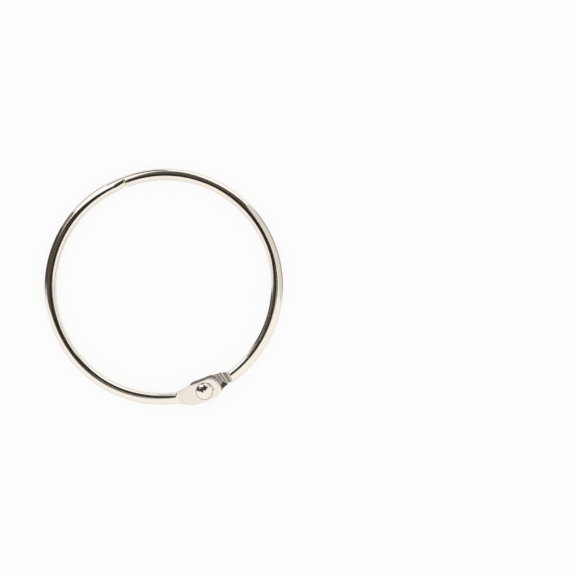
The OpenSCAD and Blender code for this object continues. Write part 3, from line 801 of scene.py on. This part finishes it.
def floor():
    """White paper: glow + matt grey. To the eye it is white with a faint shadow, and metal shows
    it a little deeper, so both amounts change with the kind of ray that meets it."""
    material, tree = new_material("white_paper")
    rays = node(tree, "ShaderNodeLightPath").outputs
    to_metal = node(tree, "ShaderNodeMath",
                    [(0, rays["Is Glossy Ray"]), (1, rays["Is Transmission Ray"])],
                    operation="ADD", use_clamp=True)
    deeper = node(tree, "ShaderNodeMath", [(0, to_metal), (1, PAPER_GLOW_IN_METAL)],
                  operation="MULTIPLY")
    strength = node(tree, "ShaderNodeMath",
                    [(0, rays["Is Camera Ray"]), (1, PAPER_GLOW), (2, deeper)],
                    operation="MULTIPLY_ADD")
    glow = node(tree, "ShaderNodeEmission", [("Color", linear("#FFFFFF")), ("Strength", strength)])
    faint, deep = (node(tree, "ShaderNodeBsdfDiffuse", [("Color", (grey, grey, grey, 1))])
                   for grey in (PAPER_GREY, PAPER_GREY_IN_METAL))
    paper = node(tree, "ShaderNodeMixShader", [(0, rays["Is Camera Ray"]), (1, deep), (2, faint)])
    both = node(tree, "ShaderNodeAddShader", [(0, glow), (1, paper)])
    node(tree, "ShaderNodeOutputMaterial", [("Surface", both)])
    x = np.array([-FLOOR_HALF, FLOOR_HALF])
    rings = np.stack([*np.meshgrid(x, x, indexing="ij"), np.full((2, 2), FLOOR_Z)], -1)
    stage_piece("floor", rings, material, hidden=False)


# Flags round the ring and inside it: name, bearings in the view, the degrees over which the two
# ends turn clear, colour, and path of (distance from the ring's centre, height). They lie a little
# over the paper, and a wall rises at its far end. A fade starts a HAIR before its end, so that an
# end without a fade is whole. All but the top two are painted shadow: the ring's shadow on the
# paper as metal shows it. The top two darken the metal's reflection near the horizon.
FLAG_LOW, HAIR = FLOOR_Z + 0.02, 1e-3
WALL, FAR_WALL = (
    [(start, FLAG_LOW), (330, FLAG_LOW), (340, top)] for start, top in ((28.3, 160), (38, 90)))
STRIP, INNER = ([(start, FLAG_LOW), (stop, FLAG_LOW)] for start, stop in ((28.3, 38), (24.95, -10)))
FLAGS = (("left_painted_shadow", (150, 188), (0, 12), "#50493F", WALL),
         ("left_painted_shadow_edge", (141, 150), (0, 0), "#857C70", WALL),
         ("top_flag", (90, 107), (2, 0), "#655E54", FAR_WALL),
         ("top_flag_edge", (107, 121), (0, 0), "#AAA397", FAR_WALL),
         ("right_painted_shadow", (-12, 47), (16, 12), "#A8A29A", STRIP),
         ("upper_left_painted_shadow", (121, 141), (0, 0), "#C9C4BB", STRIP),
         ("inner_painted_shadow", (320, 362), (10, 8), "#50493F", INNER))


def flag(name, bearings, fades, colour, path):
    """A flag that only metal sees, most of them painted shadow on the paper. Its cover rises over
    the first fade and falls over the last.
    """
    degrees = np.linspace(*bearings, 61)
    cover = (ease(-HAIR, fades[0], degrees - bearings[0])
             * ease(-HAIR, fades[1], bearings[1] - degrees))
    a = np.radians(degrees) - VIEW_TURN
    radius, z = (np.array(column, float)[:, None] + 0 * a for column in zip(*path))
    glowing_card(name, np.stack([radius * np.cos(a), radius * np.sin(a), z], -1), colour, cover)


def sheet(name, outline, away, colour, strength):
    """A sheet stood round part of the ring, this far from its centre. It rises from the paper to
    the angle from straight up that its outline gives for each bearing in the view, which is a
    height of away / tan(angle)."""
    bearing, angle = np.radians(np.array(outline, float)).T
    a = np.linspace(bearing[0], bearing[-1], 121)
    top = away / np.tan(np.interp(a, bearing, angle))
    z = np.stack([np.full_like(a, FLOOR_Z), top])
    out = np.stack([away * np.cos(a - VIEW_TURN), away * np.sin(a - VIEW_TURN)], -1)
    rings = np.concatenate([np.broadcast_to(out, (2, *out.shape)), z[..., None]], -1)
    glowing_card(name, rings, colour, strength=strength)


# Outlines of the sheets, as (bearing, angle from straight up) in degrees
WHITE_SHEET = [(43, 89), (45, 56), (92, 56), (100, 24), (140, 24), (146, 80), (148, 89)]
GREY_SHEET = [(-8, 89), (0, 62), (12, 55), (42, 55), (45, 70)]


def world():
    """Even white light from all round: the only lamp."""
    scene_world = bpy.data.worlds.new("studio")
    bpy.context.scene.world = scene_world
    scene_world.use_nodes = True
    back = scene_world.node_tree.nodes["Background"]
    back.inputs["Color"].default_value = linear("#FFFFFF")
    back.inputs["Strength"].default_value = 1.0


camera()
floor()
for each in FLAGS:
    flag(*each)
sheet("white_sheet", WHITE_SHEET, 420, "#EFF5FF", 1.26)
sheet("grey_sheet", GREY_SHEET, 40, "#E2E1DD", 1.0)
card("near_card", NEAR_CARD, 55, (-6.4, 14.5), "#2F2920")
card("far_card", FAR_CARD, 161, (-15.5, 22.6), "#585249")
world()
bpy.context.scene.view_settings.view_transform = "Standard"
